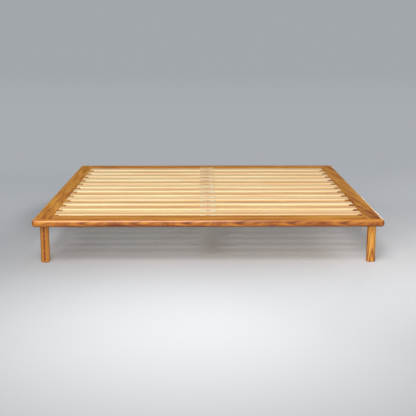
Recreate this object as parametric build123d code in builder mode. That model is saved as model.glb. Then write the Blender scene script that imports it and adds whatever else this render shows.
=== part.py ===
"""Low platform bed frame: a border of thick boards on round legs, with loose slats that lift out.

The origin is on the floor under the middle of the frame. +X is to the right seen from the foot end,
+Y runs from foot to head and +Z is up. Sizes are in millimetres.
"""

import os

from build123d import *

os.makedirs("parts", exist_ok=True)

# Overall sizes
FRAME_WIDTH = 2100
FRAME_LENGTH = 2200
FRAME_HEIGHT = 270

# Border boards
BOARD_THICKNESS = 45
SIDE_BOARD_WIDTH = 108
RAIL_WIDTH = 130
TOP_EDGE_RADIUS = 18
BOTTOM_EDGE_RADIUS = 16
CORNER_EXTRA = 2  # by how much the plan corners are rounder than the edges
NOSE_FLAT = 4  # straight stretch of a rail's nose between its corner and the side board's end
EDGE_EASING = 1.5

# Slats
SLAT_COUNT = 12
SLAT_WIDTH = 89
SLAT_THICKNESS = 19
SLAT_EDGE_RADIUS = 4
SLAT_END_GAP = 45.5  # from a rail to the nearest slat
SLAT_END_CLEARANCE = 2  # from a slat's end to the side board

# Ledgers that carry the slat ends, and the centre beam
LEDGER_WIDTH = 26
LEDGER_LIFT = 4  # ledger underside above the board underside
BEAM_WIDTH = 108
BEAM_HEIGHT = 38

# Blocks on the ledgers and the beam that part the slats
BLOCK_CLEARANCE = 1  # from a block to a slat
BLOCK_DROP = 2  # block tops below the slat tops
PLUG_DIAMETER = 16
PLUG_THICKNESS = 5

# Steel hangers under the beam ends
HANGER_THICKNESS = 2.5
HANGER_DEPTH = 40
HANGER_FIT = 0.3  # beside the beam, on each side
HANGER_DROP = 3  # top of the hanger below the slats
EAR_WIDTH = 40

# Legs and their fittings
LEG_DIAMETER = 53
LEG_INSET = 66  # leg axis from the frame's outer faces
LEG_FOOT_RADIUS = 1.5
PAD_THICKNESS = 2
PAD_MARGIN = 0.5  # pad edge inside the flat of the foot
BOLT_DIAMETER = 8
BOLT_IN_LEG = 45
BOLT_IN_INSERT = 18
INSERT_DIAMETER = 13
INSERT_LENGTH = 20

# Corner joints
DOWEL_DIAMETER = 10
DOWEL_LENGTH = 60
DOWEL_SPACING = 36
PLATE_LENGTH = 110
PLATE_THICKNESS = 3
PLATE_MARGIN = 4  # from the plate to the leg and to the rail's inner edge

# Screws: length under the head, shank, head and the hexagon socket in it
BLOCK_SCREW_LENGTH = 30
LEDGER_SCREW_LENGTH = 50
HANGER_SCREW_LENGTH = 25
PLATE_SCREW_LENGTH = 22
SCREW_DIAMETER = 5
SCREW_HEAD_DIAMETER = 10
SCREW_HEAD_HEIGHT = 3
SOCKET_RADIUS = 2.3  # to the corners of the hexagon
SOCKET_DEPTH = 1.8
HEAD_CLEARANCE = 1  # around and above a sunk screw head
HOLE_CLEARANCE = 0.2  # on the diameter of every hole with something in it
HOLE_SPARE_DEPTH = 2  # past the end of what sits in a blind hole

# Places worked out from the sizes above
edge_limit = 0.48 * BOARD_THICKNESS
top_radius = min(TOP_EDGE_RADIUS, edge_limit)
bottom_radius = min(BOTTOM_EDGE_RADIUS, edge_limit)
corner_radius = max(top_radius, bottom_radius) + CORNER_EXTRA
nose_depth = corner_radius + NOSE_FLAT
board_bottom = FRAME_HEIGHT - BOARD_THICKNESS
board_middle = FRAME_HEIGHT - BOARD_THICKNESS / 2
inner_half_width = FRAME_WIDTH / 2 - SIDE_BOARD_WIDTH
inner_half_length = FRAME_LENGTH / 2 - RAIL_WIDTH
side_board_length = FRAME_LENGTH - 2 * nose_depth
rail_body_depth = RAIL_WIDTH - nose_depth

slat_bottom = FRAME_HEIGHT - SLAT_THICKNESS
slat_length = 2 * (inner_half_width - SLAT_END_CLEARANCE)
slat_pitch = (2 * (inner_half_length - SLAT_END_GAP) - SLAT_WIDTH) / (SLAT_COUNT - 1)
first_slat = SLAT_END_GAP + SLAT_WIDTH / 2 - inner_half_length
slat_centres = [first_slat + i * slat_pitch for i in range(SLAT_COUNT)]
gap_starts = [-inner_half_length] + [y + SLAT_WIDTH / 2 for y in slat_centres]
gap_ends = [y - SLAT_WIDTH / 2 for y in slat_centres] + [inner_half_length]
block_starts = [gap_starts[0]] + [y + BLOCK_CLEARANCE for y in gap_starts[1:]]
block_ends = [y - BLOCK_CLEARANCE for y in gap_ends[:-1]] + [gap_ends[-1]]
block_centres = [(low + high) / 2 for low, high in zip(block_starts, block_ends)]

block_top = FRAME_HEIGHT - BLOCK_DROP
block_height = block_top - slat_bottom
ledger_bottom = board_bottom + LEDGER_LIFT
ledger_middle_x = inner_half_width - LEDGER_WIDTH / 2
ledger_inner_half_width = inner_half_width - LEDGER_WIDTH
ledger_screw_height = (ledger_bottom + slat_bottom) / 2
ledger_screw_places = block_centres[::2]
head_pocket = SCREW_HEAD_DIAMETER + 2 * HEAD_CLEARANCE
head_pocket_depth = SCREW_HEAD_HEIGHT + HEAD_CLEARANCE
screw_hole = SCREW_DIAMETER + HOLE_CLEARANCE
plug_bottom = block_top - PLUG_THICKNESS
block_screw_seat = plug_bottom - head_pocket_depth

beam_bottom = slat_bottom - BEAM_HEIGHT
hanger_top = slat_bottom - HANGER_DROP
hanger_inner_half_width = BEAM_WIDTH / 2 + HANGER_FIT
hanger_half_width = hanger_inner_half_width + HANGER_THICKNESS
ear_height = hanger_top - ledger_bottom
ear_middle = (hanger_top + ledger_bottom) / 2
ear_screw_places = [hanger_half_width + share * EAR_WIDTH for share in (0.3, 0.7)]
hanger_screw_y = inner_half_length - 0.6 * HANGER_DEPTH
hanger_screw_z = (beam_bottom + hanger_top) / 2

leg_half_x = FRAME_WIDTH / 2 - LEG_INSET
leg_half_y = FRAME_LENGTH / 2 - LEG_INSET
corner_leg_places = {
    "front_left_leg": (-leg_half_x, -leg_half_y),
    "front_right_leg": (leg_half_x, -leg_half_y),
    "rear_left_leg": (-leg_half_x, leg_half_y),
    "rear_right_leg": (leg_half_x, leg_half_y),
}
# The centre leg stands under the slat behind the middle, clear of the spacer screws.
centre_leg_place = (0, slat_centres[SLAT_COUNT // 2])
leg_seats = [(x, y, board_bottom) for x, y in corner_leg_places.values()]
leg_seats.append((*centre_leg_place, beam_bottom))

dowel_half_ys = [leg_half_y - DOWEL_SPACING / 2, leg_half_y + DOWEL_SPACING / 2]
plate_outer_y = leg_half_y - LEG_DIAMETER / 2 - PLATE_MARGIN
plate_inner_y = inner_half_length + PLATE_MARGIN
plate_middle_y = (plate_outer_y + plate_inner_y) / 2
plate_screw_offsets = [share * PLATE_LENGTH for share in (-0.38, -0.16, 0.16, 0.38)]

SIDES = (-1, 1)
STANDING = (Align.CENTER, Align.CENTER, Align.MIN)
UP = (0, 0, 1)
DOWN = (0, 0, -1)


def keep(piece, name):
    """Labels a finished piece and writes it to a file of its own."""
    piece.part.label = name
    export_step(piece.part, f"parts/{name}.step")


def far_face(piece, axis, side):
    """The face furthest along an axis, on its negative side for -1 and its positive side for 1."""
    return piece.faces().sort_by(axis)[-1 if side > 0 else 0]


def drill(points, outward, diameter, depth):
    """Drills blind holes into the open piece, from points on a face that looks outward."""
    with Locations(*[Plane(origin=point, z_dir=outward) for point in points]):
        Hole(diameter / 2, depth)


def corner_plate_points(side, end):
    """Where a corner's tie plate takes its screws, on the underside of the boards."""
    joint_x = side * inner_half_width
    return [(joint_x + offset, end * plate_middle_y, board_bottom) for offset in plate_screw_offsets]


def side_board(side):
    """A side board, rounded along its outer edges and bored for dowels, screws and leg inserts."""
    inner_x = side * inner_half_width
    with BuildPart() as board:
        with Locations((side * (FRAME_WIDTH / 2 - SIDE_BOARD_WIDTH / 2), 0, board_bottom)):
            Box(SIDE_BOARD_WIDTH, side_board_length, BOARD_THICKNESS, align=STANDING)
        fillet(far_face(board, Axis.X, side).edges().filter_by(Axis.Y).sort_by(Axis.Z)[-1], top_radius)
        fillet(far_face(board, Axis.X, side).edges().filter_by(Axis.Y).sort_by(Axis.Z)[0], bottom_radius)
        fillet(far_face(board, Axis.X, -side).edges().filter_by(Axis.Y), EDGE_EASING)

        dowel_points = [(inner_x, end * y, board_middle) for end in SIDES for y in dowel_half_ys]
        drill(dowel_points, (-side, 0, 0), DOWEL_DIAMETER + HOLE_CLEARANCE,
              DOWEL_LENGTH / 2 + HOLE_SPARE_DEPTH)

        screw_points = [(inner_x, y, ledger_screw_height) for y in ledger_screw_places]
        screw_depth = LEDGER_SCREW_LENGTH - (LEDGER_WIDTH - head_pocket_depth)
        drill(screw_points, (-side, 0, 0), screw_hole, screw_depth + HOLE_SPARE_DEPTH)

        insert_points = [(side * leg_half_x, end * leg_half_y, board_bottom) for end in SIDES]
        drill(insert_points, DOWN, INSERT_DIAMETER + HOLE_CLEARANCE, INSERT_LENGTH + HOLE_SPARE_DEPTH)

        corner_points = [p for end in SIDES for p in corner_plate_points(side, end)]
        plate_points = [p for p in corner_points if abs(p[0]) > inner_half_width]
        drill(plate_points, DOWN, screw_hole, PLATE_SCREW_LENGTH - PLATE_THICKNESS + HOLE_SPARE_DEPTH)
    return board


def rail(end):
    """The front or rear rail: a body between the side boards and a nose that covers their ends."""
    outer_y = FRAME_LENGTH / 2
    with BuildPart() as board:
        with BuildSketch(Plane.XY.offset(board_bottom)):
            with Locations((0, end * (outer_y - nose_depth / 2))):
                Rectangle(FRAME_WIDTH, nose_depth)
            with Locations((0, end * (inner_half_length + rail_body_depth / 2))):
                Rectangle(2 * inner_half_width, rail_body_depth)
        extrude(amount=BOARD_THICKNESS)
        fillet(far_face(board, Axis.Y, end).edges().filter_by(Axis.Z), corner_radius)
        for height, radius in ((FRAME_HEIGHT, top_radius), (board_bottom, bottom_radius)):
            level_edges = board.edges().filter_by_position(Axis.Z, height, height)
            outer_edges = level_edges.filter_by(
                lambda edge: end * edge.center().Y > outer_y - corner_radius - 0.75 * NOSE_FLAT
            )
            fillet(outer_edges, radius)
        fillet(far_face(board, Axis.Y, -end).edges().filter_by(Axis.X), EDGE_EASING)

        for side in SIDES:
            dowel_points = [(side * inner_half_width, end * y, board_middle) for y in dowel_half_ys]
            drill(dowel_points, (side, 0, 0), DOWEL_DIAMETER + HOLE_CLEARANCE,
                  DOWEL_LENGTH / 2 + HOLE_SPARE_DEPTH)
            plate_points = [p for p in corner_plate_points(side, end) if abs(p[0]) < inner_half_width]
            drill(plate_points, DOWN, screw_hole, PLATE_SCREW_LENGTH - PLATE_THICKNESS + HOLE_SPARE_DEPTH)
            ear_points = [(side * x, end * inner_half_length, ear_middle) for x in ear_screw_places]
            drill(ear_points, (0, -end, 0), screw_hole,
                  HANGER_SCREW_LENGTH - HANGER_THICKNESS + HOLE_SPARE_DEPTH)
    return board


def slat_ledger(side):
    """A ledger strip along a side board, under the slat ends, with screw pockets on its inner face."""
    inner_x = side * ledger_inner_half_width
    with BuildPart() as ledger:
        with Locations((side * ledger_middle_x, 0, ledger_bottom)):
            Box(LEDGER_WIDTH, 2 * inner_half_length, slat_bottom - ledger_bottom, align=STANDING)
        fillet(far_face(ledger, Axis.X, -side).edges().filter_by(Axis.Y).sort_by(Axis.Z)[0], EDGE_EASING)
        pockets = [
            Plane(origin=(inner_x, y, ledger_screw_height), z_dir=(-side, 0, 0)) for y in ledger_screw_places
        ]
        with Locations(*pockets):
            CounterBoreHole(screw_hole / 2, head_pocket / 2, head_pocket_depth, LEDGER_WIDTH)
    return ledger


def slat(centre_y):
    """One slat, a plain board with eased long edges."""
    with BuildPart() as board:
        with BuildSketch(Plane.YZ):
            with Locations((centre_y, slat_bottom + SLAT_THICKNESS / 2)):
                RectangleRounded(SLAT_WIDTH, SLAT_THICKNESS, min(SLAT_EDGE_RADIUS, 0.4 * SLAT_THICKNESS))
        extrude(amount=slat_length / 2, both=True)
    return board


def centre_beam():
    """The beam under the middle of the slats, bored for the block screws, hangers and centre leg."""
    with BuildPart() as beam:
        with Locations((0, 0, beam_bottom)):
            Box(BEAM_WIDTH, 2 * inner_half_length, BEAM_HEIGHT, align=STANDING)
        fillet(beam.edges().filter_by(Axis.Y), EDGE_EASING)
        block_points = [(0, y, slat_bottom) for y in block_centres]
        in_beam = BLOCK_SCREW_LENGTH - (block_screw_seat - slat_bottom)
        drill(block_points, UP, screw_hole, in_beam + HOLE_SPARE_DEPTH)
        drill([(*centre_leg_place, beam_bottom)], DOWN, INSERT_DIAMETER + HOLE_CLEARANCE,
              INSERT_LENGTH + HOLE_SPARE_DEPTH)
        for side in SIDES:
            hanger_points = [(side * BEAM_WIDTH / 2, end * hanger_screw_y, hanger_screw_z) for end in SIDES]
            drill(hanger_points, (side, 0, 0), screw_hole, HANGER_SCREW_LENGTH + HOLE_SPARE_DEPTH)
    return beam


def block_row(middle_x, width):
    """A row of blocks that part the slats, one in each gap, on the ledger or the beam below them."""
    with BuildPart() as blocks:
        for low, high in zip(block_starts, block_ends):
            with Locations((middle_x, (low + high) / 2, slat_bottom)):
                Box(width, high - low, block_height, align=STANDING)
        fillet(blocks.edges().filter_by_position(Axis.Z, block_top, block_top), EDGE_EASING)
    return blocks


def spacer_blocks():
    """The blocks on the beam, each with a counterbored hole for its screw and plug."""
    plug_hole = PLUG_DIAMETER + HOLE_CLEARANCE
    with BuildPart() as blocks:
        add(block_row(0, BEAM_WIDTH).part)
        with Locations(*[(0, y, block_top) for y in block_centres]):
            CounterBoreHole(screw_hole / 2, plug_hole / 2, block_top - block_screw_seat, block_height)
    return blocks


def spacer_plugs():
    """A wooden plug over the screw of each block on the beam, level with the block."""
    with BuildPart() as plugs:
        with Locations(*[(0, y, plug_bottom) for y in block_centres]):
            Cylinder(PLUG_DIAMETER / 2, PLUG_THICKNESS, align=STANDING)
    return plugs


def beam_hanger(end):
    """A steel saddle under a beam end, with ears screwed to the rail."""
    saddle_bottom = beam_bottom - HANGER_THICKNESS
    rail_plane = Plane.XZ.offset(-end * inner_half_length)
    with BuildPart() as hanger:
        with BuildSketch(rail_plane):
            with Locations((0, (saddle_bottom + hanger_top) / 2)):
                Rectangle(2 * hanger_half_width, hanger_top - saddle_bottom)
            with Locations((0, (beam_bottom + hanger_top) / 2)):
                Rectangle(2 * hanger_inner_half_width, hanger_top - beam_bottom, mode=Mode.SUBTRACT)
        extrude(amount=end * HANGER_DEPTH)
        with BuildSketch(rail_plane):
            with Locations(*[(side * (hanger_half_width + EAR_WIDTH / 2), ear_middle) for side in SIDES]):
                Rectangle(EAR_WIDTH, ear_height)
        extrude(amount=end * HANGER_THICKNESS)
        ear_y = end * (inner_half_length - HANGER_THICKNESS)
        for side in SIDES:
            drill([(side * x, ear_y, ear_middle) for x in ear_screw_places], (0, -end, 0),
                  screw_hole, HANGER_THICKNESS)
            drill([(side * hanger_half_width, end * hanger_screw_y, hanger_screw_z)], (side, 0, 0),
                  screw_hole, HANGER_THICKNESS + HANGER_FIT)
    return hanger


def leg(place, seat_height):
    """A round leg from its felt pad up to its seat, with a hole for its hanger bolt."""
    with BuildPart() as post:
        with Locations((*place, PAD_THICKNESS)):
            Cylinder(LEG_DIAMETER / 2, seat_height - PAD_THICKNESS, align=STANDING)
        rims = post.edges().filter_by(GeomType.CIRCLE).sort_by(Axis.Z)
        fillet(rims[0], LEG_FOOT_RADIUS)
        drill([(*place, seat_height)], UP, BOLT_DIAMETER + HOLE_CLEARANCE, BOLT_IN_LEG + HOLE_SPARE_DEPTH)
    return post


def screw(length):
    """A pan head screw with a hexagon socket, its seat at the origin, its head up and its tip down."""
    shank = SCREW_DIAMETER / 2
    head = SCREW_HEAD_DIAMETER / 2
    with BuildPart() as fastener:
        with BuildSketch(Plane.XZ):
            with BuildLine():
                Polyline(
                    (0, SCREW_HEAD_HEIGHT),
                    (0.7 * head, SCREW_HEAD_HEIGHT),
                    (head, 0.4 * SCREW_HEAD_HEIGHT),
                    (head, 0),
                    (shank, 0),
                    (shank, SCREW_DIAMETER - length),
                    (0, -length),
                    close=True,
                )
            make_face()
        revolve(axis=Axis.Z)
        with BuildSketch(Plane.XY.offset(SCREW_HEAD_HEIGHT)):
            RegularPolygon(SOCKET_RADIUS, 6)
        extrude(amount=-SOCKET_DEPTH, mode=Mode.SUBTRACT)
    return fastener


def screw_group(length, seats):
    """Screws of one length; each seat is the point under the head and the way the head looks."""
    fastener = screw(length)
    with BuildPart() as group:
        with Locations(*[Plane(origin=point, z_dir=outward) for point, outward in seats]):
            add(fastener.part)
    return group


def hanger_bolts():
    """A headless bolt in each leg, its upper end in the insert above."""
    with BuildPart() as bolts:
        with Locations(*[(x, y, z - BOLT_IN_LEG) for x, y, z in leg_seats]):
            Cylinder(BOLT_DIAMETER / 2, BOLT_IN_LEG + BOLT_IN_INSERT, align=STANDING)
        chamfer(bolts.edges().filter_by(GeomType.CIRCLE), BOLT_DIAMETER / 8)
    return bolts


def threaded_inserts():
    """A brass insert above each leg, flush with the wood that it is let into."""
    with BuildPart() as inserts:
        with Locations(*leg_seats):
            Cylinder(INSERT_DIAMETER / 2, INSERT_LENGTH, align=STANDING)
            Cylinder((BOLT_DIAMETER + HOLE_CLEARANCE) / 2, INSERT_LENGTH, align=STANDING, mode=Mode.SUBTRACT)
    return inserts


def felt_pads():
    """A felt disc under each leg."""
    with BuildPart() as pads:
        with Locations(*[(x, y, 0) for x, y, z in leg_seats]):
            Cylinder(LEG_DIAMETER / 2 - LEG_FOOT_RADIUS - PAD_MARGIN, PAD_THICKNESS, align=STANDING)
    return pads


def corner_dowels():
    """Two dowels across each corner joint."""
    places = [
        Plane(origin=(side * inner_half_width, end * y, board_middle), z_dir=(1, 0, 0))
        for side in SIDES
        for end in SIDES
        for y in dowel_half_ys
    ]
    with BuildPart() as dowels:
        with Locations(*places):
            Cylinder(DOWEL_DIAMETER / 2, DOWEL_LENGTH)
        chamfer(dowels.edges().filter_by(GeomType.CIRCLE), DOWEL_DIAMETER / 10)
    return dowels


def tie_plates():
    """A steel plate under each corner joint, behind the leg."""
    with BuildPart() as plates:
        for side in SIDES:
            for end in SIDES:
                place = (side * inner_half_width, end * plate_middle_y, board_bottom - PLATE_THICKNESS)
                with Locations(place):
                    Box(PLATE_LENGTH, plate_outer_y - plate_inner_y, PLATE_THICKNESS, align=STANDING)
        fillet(plates.edges().filter_by(Axis.Z), EDGE_EASING)
        for side in SIDES:
            for end in SIDES:
                points = [(x, y, z - PLATE_THICKNESS) for x, y, z in corner_plate_points(side, end)]
                drill(points, DOWN, screw_hole, PLATE_THICKNESS)
    return plates


# Border
keep(side_board(-1), "left_side_board")
keep(side_board(1), "right_side_board")
keep(rail(-1), "front_rail")
keep(rail(1), "rear_rail")
keep(corner_dowels(), "corner_dowels")
keep(tie_plates(), "corner_tie_plates")
plate_seats = [
    ((x, y, z - PLATE_THICKNESS), DOWN) for side in SIDES for end in SIDES
    for x, y, z in corner_plate_points(side, end)
]
keep(screw_group(PLATE_SCREW_LENGTH, plate_seats), "tie_plate_screws")

# Slats and what carries them
for number, centre_y in enumerate(slat_centres, start=1):
    keep(slat(centre_y), f"slat_{number:02d}")
for side, side_name in ((-1, "left"), (1, "right")):
    keep(slat_ledger(side), f"{side_name}_slat_ledger")
    keep(block_row(side * ledger_middle_x, LEDGER_WIDTH), f"{side_name}_ledger_blocks")
ledger_seat_x = ledger_inner_half_width + head_pocket_depth
ledger_seats = [
    ((side * ledger_seat_x, y, ledger_screw_height), (-side, 0, 0))
    for side in SIDES for y in ledger_screw_places
]
keep(screw_group(LEDGER_SCREW_LENGTH, ledger_seats), "ledger_screws")
keep(centre_beam(), "centre_beam")
keep(spacer_blocks(), "centre_spacer_blocks")
block_seats = [((0, y, block_screw_seat), UP) for y in block_centres]
keep(screw_group(BLOCK_SCREW_LENGTH, block_seats), "spacer_screws")
keep(spacer_plugs(), "spacer_plugs")

# Beam hangers
keep(beam_hanger(-1), "front_beam_hanger")
keep(beam_hanger(1), "rear_beam_hanger")
ear_seat_y = inner_half_length - HANGER_THICKNESS
hanger_seats = [
    ((side * x, end * ear_seat_y, ear_middle), (0, -end, 0))
    for side in SIDES for end in SIDES for x in ear_screw_places
]
hanger_seats += [
    ((side * hanger_half_width, end * hanger_screw_y, hanger_screw_z), (side, 0, 0))
    for side in SIDES for end in SIDES
]
keep(screw_group(HANGER_SCREW_LENGTH, hanger_seats), "beam_hanger_screws")

# Legs
for name, place in corner_leg_places.items():
    keep(leg(place, board_bottom), name)
keep(leg(centre_leg_place, beam_bottom), "centre_leg")
keep(hanger_bolts(), "leg_hanger_bolts")
keep(threaded_inserts(), "leg_threaded_inserts")
keep(felt_pads(), "felt_pads")
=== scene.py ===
"""Looks of a low platform bed frame: lacquered hardwood border and legs, bare pale slats, zinc fittings.

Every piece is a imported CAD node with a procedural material. Places are in metres, in the frame's own axes:
+X to the right seen from the foot end, +Y from foot to head, +Z up.
"""

import math

import bmesh
import bpy
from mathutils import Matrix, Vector


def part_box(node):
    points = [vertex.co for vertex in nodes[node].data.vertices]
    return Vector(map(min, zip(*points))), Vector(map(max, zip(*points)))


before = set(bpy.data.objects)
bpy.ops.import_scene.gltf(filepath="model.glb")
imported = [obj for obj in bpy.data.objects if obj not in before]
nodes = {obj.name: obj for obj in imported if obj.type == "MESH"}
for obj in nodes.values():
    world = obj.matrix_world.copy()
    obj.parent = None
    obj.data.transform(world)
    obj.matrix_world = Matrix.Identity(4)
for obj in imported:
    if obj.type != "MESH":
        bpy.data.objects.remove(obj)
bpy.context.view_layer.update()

# Camera, fitted to the photograph's outlines of the frame
IMAGE_PIXELS = 416
FOCAL_PIXELS = 872.4
SENSOR_MM = 36
CAMERA_PLACE = (-0.036, -6.157, 1.351)
CAMERA_DOWN_DEGREES = 11.279
CAMERA_RIGHT_DEGREES = 0.386
CAMERA_REACH = 200

# Stage
BACKDROP_COLOUR = (0.36, 0.386, 0.408)
HORIZON_COLOUR = (0.397, 0.418, 0.442)
FLOOR_SIZE = 60.0
FLOOR_SEGMENTS = 8
FLOOR_ROUGHNESS = 0.9
FLOOR_SPECULAR = 0.1
# Floor colours: painted shade near the front against the lamps' strong light there, painted light far back
# where it falls off, and the colour of the painted pools of light
NEAR_COLOUR = (0.262, 0.273, 0.287)
FAR_COLOUR = (0.53, 0.56, 0.595)
LIGHT_POOL_COLOUR = (0.768, 0.784, 0.808)
# Painted pools of light on the floor in front of the bed and right of it: place and half sizes
LIGHT_POOLS = [
    ((0.0, -2.07), (2.4, 2.25)),
    ((2.03, -1.05), (2.0, 1.95)),
]
# Pools of other colours: a dark one left of the bed is a painted shadow, and cool ones under it are painted
# light that pales the bed's shadow in its middle and at its ends, cool against the brown light from the wood.
# Each has a place, half sizes and a colour.
SHADOW_AND_LIGHT_POOLS = [
    ((-1.12, 0.35), (0.42, 0.95), (0.31, 0.325, 0.345)),
    ((-0.05, -0.65), (1.5, 0.7), (0.455, 0.505, 0.565)),
    ((0.02, -0.2), (0.14, 0.75), (0.59, 0.65, 0.71)),
    ((0.97, -0.68), (0.38, 0.9), (0.78, 0.86, 0.95)),
    ((-0.99, -0.45), (0.19, 0.75), (0.74, 0.80, 0.87)),
]
# Painted light behind the feet of the front legs, paling the shadows of the rail and legs there, over all
# others
FOOT_LIGHT_POOLS = [
    ((0.96, -0.84), (0.3, 0.22), (0.84, 0.93, 0.99)),
    ((-0.975, -0.74), (0.075, 0.28), (0.82, 0.88, 0.94)),
]
# Places along the floor, between which it goes from its near colour to its far one: painted shade near the
# front, against the lamps' strong light there, and paler far back, as painted light where their light falls
# off
FAR_FADE = (-2.5, 1.3)
# Distances outwards, over which the floor fades to the horizon's colour and on to the backdrop's. They count
# later in front of the bed and beside it, and the three directions blend into each other.
HORIZON_FADE = (0.8, 3.0)
BACKDROP_FADE = (6.0, 28.0)
FADE_DELAY_FRONT = 3.4
FADE_DELAY_SIDE = 2.2
FADE_BLEND = 2.0

# Lamps: place, aim, width and height in metres, power in watts
KEY_LAMP = ((-0.85, -4.9, 4.8), (0.0, -0.6, 0.2), (2.9, 5.6), 300)
FRONT_LAMP = ((0.8, -20.0, 2.6), (0.0, 0.0, 0.2), (9.0, 2.6), 1250)
RIGHT_RIM_LAMP = ((3.95, 8.0, 0.42), (1.05, -0.8, 0.26), (1.2, 0.7), 380)
LEFT_RIM_LAMP = ((-3.7, 8.0, 0.4), (-1.05, -0.95, 0.26), (0.3, 0.7), 20)
LAMP_COLOUR = (1.0, 0.985, 0.965)
SKY_COLOUR = (0.97, 0.98, 1.0)
SKY_STRENGTH = 0.42

# Noise values that count as the ends of a range, and how much the fibres of wood stand up
NOISE_ENDS = (0.2, 0.8)
FIBRE_HEIGHT = 0.6

# Hardwood tones from pale to dark, on the boards and on the redder nose, and the colour of worn edges
HARDWOOD_TONES = [
    (0.0, (0.68, 0.325, 0.066)),
    (0.35, (0.50, 0.205, 0.04)),
    (0.7, (0.33, 0.11, 0.03)),
    (1.0, (0.18, 0.05, 0.02)),
]
NOSE_TONES = [
    (0.0, (0.68, 0.30, 0.056)),
    (0.35, (0.49, 0.182, 0.033)),
    (0.7, (0.31, 0.098, 0.024)),
    (1.0, (0.17, 0.046, 0.017)),
]
HARDWOOD_EDGE = (0.68, 0.32, 0.08)
WORN_WIDTH = 0.004
WORN_SHARE = 0.3
WORN_TURN = 0.75  # likeness of the rounded and the flat normal, at which an edge is fully worn

# Hardwood marks per metre, along the grain or along and across it
SWAY_RATE = 1.3
DIP_RATE = 1.7
RIPPLE_RATES = (5.0, 40.0)
STREAK_RATES = (1.8, 45.0)
FIBRE_RATES = (14.0, 900.0)
PATCH_RATES = (2.6, 9.0)
# How much each kind of mark counts in the tone
RING_WEIGHT = 0.5
STREAK_WEIGHT = 0.55
PATCH_WEIGHT = 0.8
NOSE_PATCH_WEIGHT = 0.3
FIBRE_WEIGHT = 0.25
# Other numbers of the hardwood's figure
HARDWOOD_RING = [(0.0, 0.2), (0.25, 0.0), (0.7, 0.55), (0.9, 1.0), (1.0, 0.2)]  # tone through one growth ring
STREAK_ENDS = (0.36, 0.7)
DIP_SEED = 31.0
END_PLACE = (-0.93, -1.02)  # along a side board, where its front end darkens
# A dark or pale streak along the grain comes and goes: blotches per half width, noise values and strengths
BLOTCH_RATE = 0.35
BLOTCH_ENDS = (-0.12, 0.1)
BLOTCH_STRENGTHS = (0.55, 1.2)
BLOTCH_SEED = 5.0

# Hardwood surface, lacquered. The coat shines on rounded edges, where the normal is half level.
HARDWOOD_ROUGHNESS = (0.62, 0.45)
LATE_WOOD_MATT = -0.15
LATE_WOOD_HEIGHT = -0.35
HARDWOOD_BUMP = (0.22, 0.0006)
COAT_LEVEL = (0.5, 0.32)
COAT_ON_FACES = 0.2
COAT_IOR = 2.3
COAT_ROUGHNESS = 0.16

# Front rail: where its top turns into the nose and where it is painted darker towards the slats, as shade at
# its inner edge, across it from its middle, and the thin dark lines at the joints with the side boards
NOSE_TURN = (-0.035, -0.051)
INNER_SHADE_PLACE = (0.045, 0.06)
INNER_SHADE_TONE = 0.4
JOINT_PLACE = 0.941
JOINT_HALF_WIDTH = 0.004
JOINT_TONE = 0.5
# Figure on its nose, repeated along the rail: length and place of a repeat, height of the axis, half height
FIGURE_LENGTH = 0.311
FIGURE_PLACE = -0.102
FIGURE_AXIS = 0.0011
FIGURE_HALF_HEIGHT = 0.0181
# Strokes in one repeat: place on the axis, its slope and bend with the height, half width, tone, height of
# the middle and half height. Tones above 0 are dark. Places and widths are shares of the repeat's length,
# heights are shares of its half height.
NOSE_STROKES = [
    (0.91, 0.0, 0.21, 0.125, 0.38, 0.2, 1.4),
    (0.1, 0.0, 0.21, 0.16, -0.25, 0.22, 0.6),
    (0.25, 0.174, 0.0, 0.07, 0.22, -0.15, 0.8),
    (0.358, 0.12, 0.0, 0.07, -0.18, 0.0, 0.8),
    (0.75, 0.0, 0.0, 0.08, -0.16, 0.35, 1.1),
    (0.66, -0.38, 0.0, 0.15, -0.28, -0.55, 0.8),
]
NOSE_HATCH = (0.53, 0.0, 0.0, 0.23, 0.19, -0.2, 1.3)  # one more stroke, with hatching
HATCH_RATES = (55.0, 30.0)
HATCH_ENDS = (0.35, 0.65)
HATCH_STRENGTHS = (0.3, 1.7)
WAVER_RATES = (14.0, 120.0)
WAVER = 0.06
# Painted shade under the figure, darkening the nose's face below the highlight and more towards the bottom:
# heights where it starts under the highlight, then heights and tones towards the bottom, and where and how
# much it gets paler towards the left end
FACE_SHADE_START = (0.0165, 0.009)
FACE_SHADE_HEIGHTS = (0.0, -0.02)
FACE_SHADE_TONES = (0.42, 0.54)
LEFT_END_PLACE = (-0.45, -0.75)
LEFT_END_TONE = -0.19

# Softwood tones from pale to dark, on the broad faces and on the narrow ones, which are paler, partly as the
# wood's own paler edges and partly as painted light
FACE_TONES = [
    (0.0, (0.92, 0.76, 0.48)),
    (0.35, (0.85, 0.58, 0.31)),
    (0.7, (0.74, 0.42, 0.19)),
    (1.0, (0.56, 0.28, 0.11)),
]
EDGE_TONES = [
    (0.0, (0.97, 0.81, 0.455)),
    (0.5, (0.96, 0.655, 0.325)),
    (1.0, (0.91, 0.51, 0.225)),
]
# Tone of each slat from the front one back, and how much darker its near side is than its far side
SLAT_TONES = [
    (0.5, 0.7), (0.62, -0.1), (0.56, -0.6), (0.3, 0.45), (0.6, 0.0), (0.4, -0.15),
    (0.25, 0.1), (0.52, 0.4), (0.3, 0.1), (0.38, 0.0), (0.48, 0.0), (0.4, 0.0),
]
# Tones of the slats' narrow faces: top, bottom of the front slat, and the bottom's step from slat to slat.
# The darker bottoms are painted shade in the gaps between the slats, darkest on the front slat.
SLAT_SIDE_TOP = -0.13
SLAT_SIDE_BOTTOM_SHADE = 0.555
SLAT_SIDE_SHADE_STEP = -0.025

# Softwood marks per metre, along the grain or along and across it
SOFT_SWAY_RATE = 0.9
SOFT_DIP_RATE = 1.1
SOFT_STREAK_RATES = (1.6, 30.0)
SOFT_FIBRE_RATES = (16.0, 1000.0)
KNOT_RATES = (3.1, 9.0)
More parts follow.
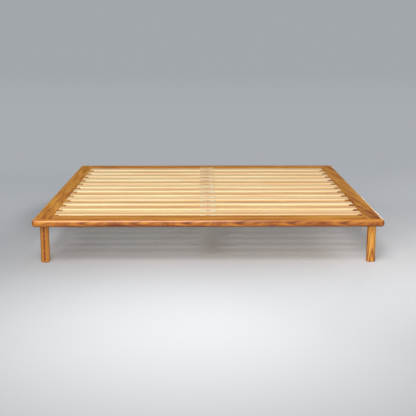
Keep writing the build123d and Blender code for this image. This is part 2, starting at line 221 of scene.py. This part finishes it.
# How much each kind of mark counts in the tone, and what is taken off for all of them
SOFT_RING_WEIGHT = 0.2
SOFT_STREAK_WEIGHT = 0.4
SOFT_FIBRE_WEIGHT = 0.15
KNOT_WEIGHT = 0.4
GRAIN_OFFSET = 0.23
# Other numbers of the softwood's figure. The pith lies below the board, more or less to one side.
SOFTWOOD_RING = [(0.0, 0.1), (0.3, 0.0), (0.8, 0.5), (0.95, 1.0), (1.0, 0.1)]  # tone through one growth ring
SOFT_RING_WIDTH = 0.011
SOFT_SWAY = 0.03
SOFT_DIP = 0.02
SOFT_DIP_SEED = 9.0
PITH_SIDEWAYS = 0.03
PITH_DEPTH = 0.07
SOFT_STREAK_ENDS = (0.3, 0.7)
KNOT_SIZE = (0.11, 0.03)
# Across a broad face: where it gets darker towards the near side, and its paler near edge, a painted
# highlight
DRIFT_PLACE = (0.02, -0.02)
NEAR_HIGHLIGHT_PLACE = (-0.02, -0.038)
NEAR_HIGHLIGHT_TONE = -0.33
# Narrow faces: strength of the grain, heights of the top and bottom tones, with the bottom darker as painted
# shade, and the change along them, paler towards one end as painted light from that side
SIDE_GRAIN = 1.1
SIDE_SHADE_HEIGHTS = (0.007, -0.003)
SIDE_LIGHT_PLACE = (-0.6, 0.8)
SIDE_LIGHT_TONES = (-0.1, 0.1)
BROAD_LEVEL = (0.4, 0.95)  # level of the normal, from a narrow face to a broad one
# Softwood surface, bare
SOFTWOOD_ROUGHNESS = (0.8, 0.62)
SOFT_LATE_WOOD_HEIGHT = 0.3
SOFTWOOD_BUMP = (0.25, 0.0006)
SOFTWOOD_SPECULAR = 0.1

# Metal: scratches and stains per metre, how much each counts, and how they change colour and roughness
SCRATCH_RATES = (90.0, 900.0, 900.0)
STAIN_RATES = (45.0, 45.0, 45.0)
SCRATCH_WEIGHT = 0.3
STAIN_WEIGHT = 0.7
METAL_DARK = 0.72
METAL_PALE = 1.12
METAL_ROUGHER = 0.1
METAL_SMOOTHER = -0.08
SCRATCH_DEPTH = 0.0002

# Felt
FUZZ_RATES = (1400.0, 1400.0, 1400.0)
FELT_TONES = [(0.2, (0.03, 0.027, 0.025)), (0.8, (0.12, 0.11, 0.1))]
FELT_BUMP = (0.8, 0.001)
FELT_ROUGHNESS = 0.95
FELT_SHEEN = 0.4


class Nodes:
    """One node tree in the making. Each method adds nodes and returns an output."""

    def __init__(self, tree):
        self.tree = tree

    def feed(self, socket, value):
        """Links a node's output to a socket, or sets a plain value on it."""
        if isinstance(value, bpy.types.NodeSocket):
            self.tree.links.new(value, socket)
        else:
            socket.default_value = value

    def put(self, kind, inputs, output=0, **settings):
        node = self.tree.nodes.new(kind)
        for name, value in settings.items():
            setattr(node, name, value)
        for key, value in inputs.items():
            self.feed(node.inputs[key], value)
        return node.outputs[output]

    def math(self, operation, first, second=0.0):
        return self.put("ShaderNodeMath", {0: first, 1: second}, operation=operation)

    def add(self, first, second):
        return self.math("ADD", first, second)

    def times(self, first, second):
        return self.math("MULTIPLY", first, second)

    def blend_up(self, first, second, distance):
        """The larger of two values, without a crease where they cross."""
        return self.put("ShaderNodeMath", {0: first, 1: second, 2: distance}, operation="SMOOTH_MAX")

    def spread(self, value, low, high, new_low=0.0, new_high=1.0):
        """Maps low..high smoothly to new_low..new_high."""
        inputs = {"Value": value, "From Min": low, "From Max": high, "To Min": new_low, "To Max": new_high}
        return self.put("ShaderNodeMapRange", inputs, interpolation_type="SMOOTHSTEP")

    def peak(self, value, middle, half_width):
        """1 at the middle, falling smoothly to 0 on both sides."""
        distance = self.math("ABSOLUTE", self.add(value, -middle))
        return self.spread(distance, half_width, 0.0)

    def vector(self, x, y, z):
        return self.put("ShaderNodeCombineXYZ", {"X": x, "Y": y, "Z": z})

    def split(self, vector):
        """The three parts of a vector."""
        node = self.tree.nodes.new("ShaderNodeSeparateXYZ")
        self.feed(node.inputs[0], vector)
        return node.outputs

    def length(self, vector):
        return self.put("ShaderNodeVectorMath", {0: vector}, output="Value", operation="LENGTH")

    def object_place(self):
        return self.put("ShaderNodeTexCoord", {}, output="Object")

    def levelness(self):
        """0 on upright faces, 1 on level ones."""
        normal = self.put("ShaderNodeTexCoord", {}, output="Normal")
        return self.math("ABSOLUTE", self.split(normal)["Z"])

    def stretched_place(self, rates):
        """A place for noise on an object, with so many marks per metre along each axis."""
        inputs = {0: self.object_place(), 1: rates}
        return self.put("ShaderNodeVectorMath", inputs, operation="MULTIPLY")

    def face_place(self, along, across, rates, layer=0.0):
        """A place for noise on a face, with so many marks per metre along the grain and across it."""
        return self.vector(self.times(along, rates[0]), self.times(across, rates[1]), layer)

    def wood_place(self, along, across, deep, rates):
        """The same in solid wood, with as many marks into the depth as across."""
        return self.face_place(along, across, rates, self.times(deep, rates[1]))

    def noise(self, place, detail=2.0, roughness=0.5):
        inputs = {"Vector": place, "Scale": 1.0, "Detail": detail, "Roughness": roughness}
        return self.put("ShaderNodeTexNoise", inputs, output="Fac")

    def noise_along(self, place, rate, seed):
        """Noise of one value along a line, from -0.5 to 0.5."""
        inputs = {"W": self.add(self.times(place, rate), seed), "Scale": 1.0, "Detail": 2.0}
        value = self.put("ShaderNodeTexNoise", inputs, output="Fac", noise_dimensions="1D")
        return self.add(value, -0.5)

    def ramp(self, value, stops):
        """Colours at places from 0 to 1."""
        node = self.tree.nodes.new("ShaderNodeValToRGB")
        elements = node.color_ramp.elements
        while len(elements) < len(stops):
            elements.new(0.5)
        for element, (place, colour) in zip(elements, stops):
            element.position = place
            element.color = (*colour, 1.0)
        self.feed(node.inputs["Fac"], value)
        return node.outputs["Color"]

    def curve(self, value, stops):
        """Plain numbers at places from 0 to 1."""
        greys = [(place, (number, number, number)) for place, number in stops]
        return self.put("ShaderNodeRGBToBW", {"Color": self.ramp(value, greys)})

    def mix(self, share, first, second):
        """A mix of two colours."""
        node = self.tree.nodes.new("ShaderNodeMix")
        node.data_type = "RGBA"
        self.feed(node.inputs["Factor"], share)
        self.feed(node.inputs[6], first)
        self.feed(node.inputs[7], second)
        return node.outputs[2]

    def bump(self, height, strength, distance):
        inputs = {"Height": height, "Strength": strength, "Distance": distance}
        return self.put("ShaderNodeBump", inputs, output="Normal")


def new_material(name):
    """A new material, its node maker and its surface shader."""
    material = bpy.data.materials.new(name)
    material.use_nodes = True
    shader = material.node_tree.nodes["Principled BSDF"]
    return material, Nodes(material.node_tree), shader


def dress(node, material):
    """Puts a material in every slot of a CAD node."""
    slots = nodes[node].material_slots
    if not slots:
        nodes[node].data.materials.append(material)
    for slot in slots:
        slot.material = material


def middle_of(node):
    low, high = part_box(node)
    return (low + high) / 2


def board_space(make, order, origin):
    """Places on a board in metres from its middle: along the grain, across it and into the depth."""
    inputs = {0: make.object_place(), 1: tuple(origin)}
    parts = make.split(make.put("ShaderNodeVectorMath", inputs, operation="SUBTRACT"))
    return [parts["XYZ".index(axis)] for axis in order]


def edge_mask(make):
    """Near 1 along the edges of a piece, 0 on its faces."""
    rounded = make.put("ShaderNodeBevel", {"Radius": WORN_WIDTH}, samples=4)
    flat = make.put("ShaderNodeNewGeometry", {}, output="Normal")
    inputs = {0: rounded, 1: flat}
    likeness = make.put("ShaderNodeVectorMath", inputs, output="Value", operation="DOT_PRODUCT")
    return make.spread(likeness, 1.0, WORN_TURN)


def ring_tone(make, across, deep, ring, shades, ripple=0.0):
    """Tone of growth rings about a pith line, at distances across and deep from it."""
    radius = make.add(make.length(make.vector(0.0, across, deep)), ripple)
    ring_share = make.math("FRACT", make.math("DIVIDE", radius, ring))
    return make.curve(ring_share, shades)


def nose_stroke(make, steps, rise, stroke):
    """Tone of one stroke of the nose's figure, in every repeat."""
    place, slope, bend, half_width, tone, middle, half_height = stroke
    shift = make.times(rise, make.add(make.times(rise, -bend), -slope))
    from_stroke = make.add(make.math("FRACT", make.add(make.add(steps, shift), 0.5 - place)), -0.5)
    near = make.times(make.peak(from_stroke, 0.0, half_width), make.peak(rise, middle, half_height))
    return make.times(near, tone)


def nose_figure(make, along, deep):
    """Tone of the figure on the front rail's nose: pale leaves with dark tips, and hatched flames between,
    over painted shade on the nose's face below the highlight.
    """
    steps = make.math("DIVIDE", make.add(along, -FIGURE_PLACE), FIGURE_LENGTH)
    rise = make.math("DIVIDE", make.add(deep, -FIGURE_AXIS), FIGURE_HALF_HEIGHT)
    waver = make.noise(make.face_place(along, deep, WAVER_RATES))
    steps = make.add(steps, make.times(make.add(waver, -0.5), WAVER))
    lines = make.noise(make.face_place(along, deep, HATCH_RATES))
    hatching = make.spread(lines, *HATCH_ENDS, *HATCH_STRENGTHS)
    figure = make.times(nose_stroke(make, steps, rise, NOSE_HATCH), hatching)
    for stroke in NOSE_STROKES:
        figure = make.add(figure, nose_stroke(make, steps, rise, stroke))
    # Painted shade on the nose's face below the highlight, darker towards the bottom, paler towards the left
    # end
    left_end = make.spread(along, *LEFT_END_PLACE, 0.0, LEFT_END_TONE)
    ground = make.add(make.spread(deep, *FACE_SHADE_HEIGHTS, *FACE_SHADE_TONES), left_end)
    return make.add(figure, make.times(ground, make.spread(deep, *FACE_SHADE_START)))


def front_rail_tone(make, along, across, deep, on_nose):
    """Tones that only the front rail has: the figure on its nose over painted shade, painted shade along its
    inner edge, and joints on its top.
    """
    figure = make.times(nose_figure(make, along, deep), on_nose)
    # Painted shade along the inner edge, towards the slats
    inner_shade = make.spread(across, *INNER_SHADE_PLACE, 0.0, INNER_SHADE_TONE)
    line = make.peak(make.math("ABSOLUTE", along), JOINT_PLACE, JOINT_HALF_WIDTH)
    on_top = make.add(1.0, make.times(on_nose, -1.0))
    joints = make.times(make.times(line, on_top), JOINT_TONE)
    return make.add(make.add(figure, inner_shade), joints)


def core_tone(make, along, across, seed, core):
    """Tone of a dark or pale streak along the grain, from its place across, half width and strength."""
    place, half_width, strength = core
    noise = make.noise_along(along, BLOTCH_RATE / half_width, seed + BLOTCH_SEED)
    blotches = make.spread(noise, *BLOTCH_ENDS, *BLOTCH_STRENGTHS)
    return make.times(make.times(make.peak(across, place, half_width), blotches), strength)


def add_coat(make, shader, gloss):
    """Lacquer that shines on rounded edges and little on flat faces."""
    rounding = make.peak(make.levelness(), *COAT_LEVEL)
    make.feed(shader.inputs["Coat Weight"], make.add(make.times(rounding, gloss), COAT_ON_FACES * gloss))
    shader.inputs["Specular IOR Level"].default_value = 0.0
    shader.inputs["Coat IOR"].default_value = COAT_IOR
    shader.inputs["Coat Roughness"].default_value = COAT_ROUGHNESS


def hardwood(name, order, origin, seed, pith=(0.02, -0.05), ring=0.014, lean=0.0, dive=0.0, wander=0.03,
             ripple=0.4, contrast=0.7, shade=0.0, core=(0.0, 0.01, 0.0), end=0.0, gloss=0.25, nose=False):
    """Lacquered golden-brown hardwood.

    Growth rings are cylinders about a pith line at (across, deep) from the board's middle. The line wanders,
    leans across and dives, so that flat faces show straight streaks or pointed arches. A core is a streak
    along the grain: its place across, half width and strength. End darkens a side board's front end. Nose
    adds the front rail's own tones and painted shade on its nose and along its inner edge.
    """
    material, make, shader = new_material(name)
    along, across, deep = board_space(make, order, origin)
    sway = make.add(make.times(make.noise_along(along, SWAY_RATE, seed), wander), make.times(along, lean))
    wave = make.times(make.noise_along(along, DIP_RATE, seed + DIP_SEED), wander)
    dip = make.add(wave, make.times(along, dive))

    tone = core_tone(make, along, make.add(across, sway), seed, core)
    tone = make.add(tone, make.spread(along, *END_PLACE, shade, shade + end))
    patchiness = PATCH_WEIGHT * contrast
    # The front rail's tones hold painted shade on its nose and along its inner edge
    if nose:
        on_nose = make.spread(across, *NOSE_TURN)
        tone = make.add(tone, front_rail_tone(make, along, across, deep, on_nose))
        change = (NOSE_PATCH_WEIGHT - PATCH_WEIGHT) * contrast
        patchiness = make.add(patchiness, make.times(on_nose, change))

    ring_across = make.add(make.add(across, -pith[0]), sway)
    ring_deep = make.add(make.add(deep, -pith[1]), dip)
    ripples = make.noise(make.wood_place(along, across, deep, RIPPLE_RATES), detail=3.0)
    ripples = make.times(ripples, 2 * ripple * ring)
    late_wood = ring_tone(make, ring_across, ring_deep, ring, HARDWOOD_RING, ripples)
    streaks = make.noise(make.wood_place(along, ring_across, ring_deep, STREAK_RATES), detail=3.0)
    streaks = make.spread(streaks, *STREAK_ENDS)
    fibres = make.noise(make.wood_place(along, across, deep, FIBRE_RATES), detail=3.0, roughness=0.6)
    patches = make.noise(make.face_place(along, across, PATCH_RATES, seed))

    depth = make.times(late_wood, RING_WEIGHT * contrast)
    depth = make.add(depth, make.times(streaks, STREAK_WEIGHT * contrast))
    depth = make.add(depth, make.times(make.add(patches, -0.5), patchiness))
    depth = make.add(depth, make.times(make.add(fibres, -0.5), FIBRE_WEIGHT))
    depth = make.add(depth, tone)
    colour = make.ramp(depth, HARDWOOD_TONES)
    if nose:
        colour = make.mix(on_nose, colour, make.ramp(depth, NOSE_TONES))
    worn = make.times(edge_mask(make), WORN_SHARE)
    make.feed(shader.inputs["Base Color"], make.mix(worn, colour, (*HARDWOOD_EDGE, 1.0)))

    matt = make.add(fibres, make.times(late_wood, LATE_WOOD_MATT))
    make.feed(shader.inputs["Roughness"], make.spread(matt, *NOISE_ENDS, *HARDWOOD_ROUGHNESS))
    height = make.add(make.times(fibres, FIBRE_HEIGHT), make.times(late_wood, LATE_WOOD_HEIGHT))
    make.feed(shader.inputs["Normal"], make.bump(height, *HARDWOOD_BUMP))
    add_coat(make, shader, gloss)
    return material


def softwood(name, order, origin, seed, tone, drift=0.0, side=(-0.3, 0.5), pale_spots=()):
    """Bare planed softwood, pale, with straight grain, a few small knots and paler narrow faces.

    The drift makes the near side of a broad face darker than its far side, and a paler near edge is a painted
    highlight. Side is the tones of the narrow faces at their top and bottom; the darker bottom is painted
    shade between the slats. The narrow faces are paler than the broad ones, partly as the wood's own paler
    edges and partly as painted light, and paler towards one end as painted light from that side. Each pale
    spot has a place along the grain, a half width and a strength.
    """
    material, make, shader = new_material(name)
    along, across, deep = board_space(make, order, origin)

    sway = make.times(make.noise_along(along, SOFT_SWAY_RATE, seed), SOFT_SWAY)
    dip = make.times(make.noise_along(along, SOFT_DIP_RATE, seed + SOFT_DIP_SEED), SOFT_DIP)
    ring_across = make.add(make.add(across, sway), PITH_SIDEWAYS * math.sin(seed))
    ring_deep = make.add(make.add(deep, dip), PITH_DEPTH)
    late_wood = ring_tone(make, ring_across, ring_deep, SOFT_RING_WIDTH, SOFTWOOD_RING)
    streak_place = make.face_place(along, ring_across, SOFT_STREAK_RATES, make.add(seed, deep))
    streaks = make.spread(make.noise(streak_place, detail=3.0), *SOFT_STREAK_ENDS)
    fibres = make.noise(make.wood_place(along, across, deep, SOFT_FIBRE_RATES), detail=3.0, roughness=0.6)
    knot_place = make.face_place(along, across, KNOT_RATES, seed)
    knot_inputs = {"Vector": knot_place, "Scale": 1.0, "Randomness": 1.0}
    from_knot = make.put("ShaderNodeTexVoronoi", knot_inputs, output="Distance")
    knots = make.spread(from_knot, *KNOT_SIZE)

    grain = make.add(make.times(streaks, SOFT_STREAK_WEIGHT), make.times(late_wood, SOFT_RING_WEIGHT))
    grain = make.add(grain, make.times(make.add(fibres, -0.5), SOFT_FIBRE_WEIGHT))
    grain = make.add(grain, make.times(knots, KNOT_WEIGHT))
    for place, half_width, strength in pale_spots:
        grain = make.add(grain, make.times(make.peak(along, place, half_width), -strength))

    face_tone = make.add(make.spread(across, *DRIFT_PLACE, -drift / 2, drift / 2), tone - GRAIN_OFFSET)
    # The paler near edge is a painted highlight
    face_tone = make.add(face_tone, make.spread(across, *NEAR_HIGHLIGHT_PLACE, 0.0, NEAR_HIGHLIGHT_TONE))
    face_colour = make.ramp(make.add(grain, face_tone), FACE_TONES)
    # Narrow faces: darker towards the bottom as painted shade in the gaps between the slats
    side_tone = make.add(make.times(grain, SIDE_GRAIN), make.spread(deep, *SIDE_SHADE_HEIGHTS, *side))
    # Narrow faces painted paler towards one end, the left on the slats, as light from that side
    side_tone = make.add(side_tone, make.spread(along, *SIDE_LIGHT_PLACE, *SIDE_LIGHT_TONES))
    # Paler narrow faces: partly the wood's own paler edges, partly painted light
    side_colour = make.ramp(side_tone, EDGE_TONES)
    broad = make.spread(make.levelness(), *BROAD_LEVEL)
    make.feed(shader.inputs["Base Color"], make.mix(broad, side_colour, face_colour))

    make.feed(shader.inputs["Roughness"], make.spread(fibres, *NOISE_ENDS, *SOFTWOOD_ROUGHNESS))
    height = make.add(make.times(fibres, FIBRE_HEIGHT), make.times(late_wood, SOFT_LATE_WOOD_HEIGHT))
    make.feed(shader.inputs["Normal"], make.bump(height, *SOFTWOOD_BUMP))
    shader.inputs["Specular IOR Level"].default_value = SOFTWOOD_SPECULAR
    return material


def metal(name, colour, roughness, scratch):
    """Plated or machined metal with fine scratches and soft stains."""
    material, make, shader = new_material(name)
    lines = make.noise(make.stretched_place(SCRATCH_RATES), detail=3.0)
    stains = make.noise(make.stretched_place(STAIN_RATES), detail=3.0)
    shade = make.add(make.times(lines, SCRATCH_WEIGHT), make.times(stains, STAIN_WEIGHT))
    dark = tuple(METAL_DARK * part for part in colour)
    pale = tuple(min(1.0, METAL_PALE * part) for part in colour)
    make.feed(shader.inputs["Base Color"], make.ramp(shade, list(zip(NOISE_ENDS, (dark, pale)))))
    roughnesses = (roughness + METAL_ROUGHER, roughness + METAL_SMOOTHER)
    make.feed(shader.inputs["Roughness"], make.spread(shade, *NOISE_ENDS, *roughnesses))
    make.feed(shader.inputs["Normal"], make.bump(lines, scratch, SCRATCH_DEPTH))
    shader.inputs["Metallic"].default_value = 1.0
    return material


def felt(name):
    """Dense dark felt."""
    material, make, shader = new_material(name)
    fuzz = make.noise(make.stretched_place(FUZZ_RATES), detail=4.0, roughness=0.7)
    make.feed(shader.inputs["Base Color"], make.ramp(fuzz, FELT_TONES))
    make.feed(shader.inputs["Normal"], make.bump(fuzz, *FELT_BUMP))
    shader.inputs["Roughness"].default_value = FELT_ROUGHNESS
    shader.inputs["Sheen Weight"].default_value = FELT_SHEEN
    return material


def dress_hardwood(node, name, order, **figure):
    dress(node, hardwood(name, order, middle_of(node), **figure))


def dress_softwood(node, name, order, **figure):
    dress(node, softwood(name, order, middle_of(node), **figure))


def dress_border():
    """The boards around the slats, and the ledgers and blocks on them."""
    dress_hardwood("front_rail", "front_rail_wood", "XYZ", seed=3.0, pith=(0.0, 0.0), ring=0.013,
                   wander=0.008, ripple=0.25, contrast=0.75, gloss=0.28, nose=True)
    dress_hardwood("rear_rail", "rear_rail_wood", "XYZ", seed=11.0, pith=(0.03, -0.06), shade=0.02)
    dress_hardwood("left_side_board", "left_board_wood", "YXZ", seed=23.0, pith=(0.015, -0.045), wander=0.04,
                   contrast=0.6, shade=0.04, end=0.15, gloss=0.1)
    dress_hardwood("right_side_board", "right_board_wood", "YXZ", seed=41.0, pith=(-0.2, -0.03), lean=0.13,
                   ripple=0.2, contrast=0.75, core=(-0.112, 0.05, 0.32), end=0.06)
    # Painted light on the left ledger and blocks and painted shade on the right ones, as from lamps on the
    # left
    for side, seed, shade in (("left", 50.0, -0.1), ("right", 57.0, 0.2)):
        for part in ("slat_ledger", "ledger_blocks"):
            node = f"{side}_{part}"
            dress_hardwood(node, node + "_wood", "YXZ", seed=seed, shade=shade)


def dress_legs():
    """The left front leg has a dark streak, the right one a pale middle, partly painted light on its lit
    front, over arches at its foot.
    """
    dress_hardwood("front_left_leg", "front_left_leg_wood", "ZXY", seed=60.0, pith=(-0.06, -0.03),
                   wander=0.002, contrast=0.3, shade=0.3, core=(0.0, 0.0085, 0.75))
    # The right leg's pale middle is partly painted light on the round leg's lit front
    dress_hardwood("front_right_leg", "front_right_leg_wood", "ZXY", seed=65.0, pith=(0.002, -0.0461),
                   ring=0.018, dive=0.144, wander=0.003, ripple=0.05, contrast=1.4, shade=-0.16,
                   core=(0.0, 0.02, -0.08))
    for node, seed in (("rear_left_leg", 70.0), ("rear_right_leg", 75.0), ("centre_leg", 80.0)):
        dress_hardwood(node, node + "_wood", "ZXY", seed=seed, pith=(0.01, -0.06))


def dress_slats():
    """The slats, the beam, the blocks and plugs between the slats, and the dowels."""
    for index, (tone, drift) in enumerate(SLAT_TONES):
        node = f"slat_{index + 1:02d}"
        # The narrow faces' darker bottoms are painted shade, darkest on the front slat
        side = (SLAT_SIDE_TOP, SLAT_SIDE_BOTTOM_SHADE + SLAT_SIDE_SHADE_STEP * index)
        dress_softwood(node, node + "_wood", "XYZ", seed=93.0 + 13 * index, tone=tone, drift=drift, side=side)
    dress_softwood("centre_beam", "beam_wood", "YXZ", seed=300.0, tone=0.5)
    dress_softwood("centre_spacer_blocks", "block_wood", "XYZ", seed=310.0, tone=0.5,
                   pale_spots=[(0.034, 0.022, 0.45), (-0.042, 0.012, 0.3)])
    dress_softwood("corner_dowels", "dowel_wood", "XYZ", seed=320.0, tone=0.5)
    dress_hardwood("spacer_plugs", "plug_wood", "XYZ", seed=330.0, shade=-0.1)


def dress_fittings():
    """Screws, plates, bolts, inserts and pads."""
    steel = metal("zinc_steel", (0.62, 0.62, 0.63), roughness=0.38, scratch=0.15)
    for node in ("ledger_screws", "spacer_screws", "front_beam_hanger", "rear_beam_hanger",
                 "beam_hanger_screws", "leg_hanger_bolts", "corner_tie_plates", "tie_plate_screws"):
        dress(node, steel)
    brass = metal("machined_brass", (0.74, 0.54, 0.25), roughness=0.3, scratch=0.1)
    dress("leg_threaded_inserts", brass)
    dress("felt_pads", felt("dark_felt"))


def softbox(name, lamp):
    """A rectangular lamp that isn't seen itself."""
    place, aim, size, watts = lamp
    data = bpy.data.lights.new(name, "AREA")
    data.shape = "RECTANGLE"
    data.size, data.size_y = size
    data.energy = watts
    data.color = LAMP_COLOUR
    light = bpy.data.objects.new(name, data)
    light.location = place
    light.rotation_mode = "QUATERNION"
    light.rotation_quaternion = (Vector(aim) - Vector(place)).to_track_quat("-Z", "Y")
    light.visible_camera = False
    bpy.context.scene.collection.objects.link(light)


def seen_ray(make):
    """1 on rays from the camera, also by way of gloss or glass."""
    path = make.tree.nodes.new("ShaderNodeLightPath")
    seen = make.math("MAXIMUM", path.outputs["Is Camera Ray"], path.outputs["Is Glossy Ray"])
    return make.math("MAXIMUM", seen, path.outputs["Is Transmission Ray"])


def build_world():
    """Soft light from all around, with the backdrop's colour where it is seen."""
    world = bpy.data.worlds.new("studio")
    world.use_nodes = True
    bpy.context.scene.world = world
    make = Nodes(world.node_tree)
    light = world.node_tree.nodes["Background"]
    light.inputs["Color"].default_value = (*SKY_COLOUR, 1.0)
    light.inputs["Strength"].default_value = SKY_STRENGTH
    shown = make.put("ShaderNodeBackground", {"Color": (*BACKDROP_COLOUR, 1.0), "Strength": 1.0})
    both = make.put("ShaderNodeMixShader", {0: seen_ray(make), 1: light.outputs[0], 2: shown})
    make.feed(world.node_tree.nodes["World Output"].inputs["Surface"], both)


def floor_pool(make, place, middle, half_sizes):
    """1 at the middle of an ellipse on the floor, falling smoothly to 0 at its edge."""
    across = make.math("DIVIDE", make.add(place["X"], -middle[0]), half_sizes[0])
    along = make.math("DIVIDE", make.add(place["Y"], -middle[1]), half_sizes[1])
    return make.spread(make.length(make.vector(across, along, 0.0)), 1.0, 0.0)


def add_pools(make, place, base, pools):
    """Mixes pools of other colours into the floor's colour."""
    for middle, half_sizes, colour in pools:
        base = make.mix(floor_pool(make, place, middle, half_sizes), base, (*colour, 1.0))
    return base


def floor_material():
    """Paper, lightest in front of the bed where a pool of light is painted, with painted shadow and light
    around and under the bed, that turns into the backdrop far away.
    """
    material, make, shader = new_material("floor_paper")
    place = make.split(make.object_place())
    # Painted pools of light on the floor
    pale = 0.0
    for pool in LIGHT_POOLS:
        pale = make.add(floor_pool(make, place, *pool), pale)
    # Painted shade near the front and painted light far back, against the lamps' light
    base = make.mix(make.spread(place["Y"], *FAR_FADE), (*NEAR_COLOUR, 1.0), (*FAR_COLOUR, 1.0))
    # Painted shadow left of the bed, and painted light in the bed's shadow under it
    base = add_pools(make, place, base, SHADOW_AND_LIGHT_POOLS)
    base = make.mix(pale, base, (*LIGHT_POOL_COLOUR, 1.0))
    # Painted light behind the feet of the front legs
    base = add_pools(make, place, base, FOOT_LIGHT_POOLS)
    make.feed(shader.inputs["Base Color"], base)
    shader.inputs["Roughness"].default_value = FLOOR_ROUGHNESS
    shader.inputs["Specular IOR Level"].default_value = FLOOR_SPECULAR

    front_reach = make.add(make.times(place["Y"], -1.0), -FADE_DELAY_FRONT)
    side_reach = make.add(make.math("ABSOLUTE", place["X"]), -FADE_DELAY_SIDE)
    reach = make.blend_up(make.blend_up(front_reach, side_reach, FADE_BLEND), place["Y"], FADE_BLEND)
    far_share = make.spread(reach, *BACKDROP_FADE)
    far_colour = make.mix(far_share, (*HORIZON_COLOUR, 1.0), (*BACKDROP_COLOUR, 1.0))
    far = make.put("ShaderNodeEmission", {"Color": far_colour, "Strength": 1.0})
    share = make.times(make.spread(reach, *HORIZON_FADE), seen_ray(make))
    both = make.put("ShaderNodeMixShader", {0: share, 1: shader.outputs[0], 2: far})
    make.feed(material.node_tree.nodes["Material Output"].inputs["Surface"], both)
    return material


def build_floor():
    """A wide flat floor."""
    mesh = bpy.data.meshes.new("floor")
    grid = bmesh.new()
    bmesh.ops.create_grid(grid, x_segments=FLOOR_SEGMENTS, y_segments=FLOOR_SEGMENTS, size=FLOOR_SIZE / 2)
    grid.to_mesh(mesh)
    grid.free()
    floor = bpy.data.objects.new("floor", mesh)
    bpy.context.scene.collection.objects.link(floor)
    mesh.materials.append(floor_material())


def build_camera():
    """The photograph's camera."""
    data = bpy.data.cameras.new("camera")
    data.sensor_width = SENSOR_MM
    data.lens = SENSOR_MM * FOCAL_PIXELS / IMAGE_PIXELS
    data.clip_end = CAMERA_REACH
    camera = bpy.data.objects.new("camera", data)
    camera.location = CAMERA_PLACE
    tilt = math.radians(90 - CAMERA_DOWN_DEGREES)
    camera.rotation_euler = (tilt, 0.0, -math.radians(CAMERA_RIGHT_DEGREES))
    bpy.context.scene.collection.objects.link(camera)
    bpy.context.scene.camera = camera


dress_border()
dress_legs()
dress_slats()
dress_fittings()
build_world()
build_floor()
build_camera()
softbox("key", KEY_LAMP)
softbox("front", FRONT_LAMP)
softbox("right_rim", RIGHT_RIM_LAMP)
softbox("left_rim", LEFT_RIM_LAMP)
bpy.context.scene.view_settings.view_transform = "Standard"
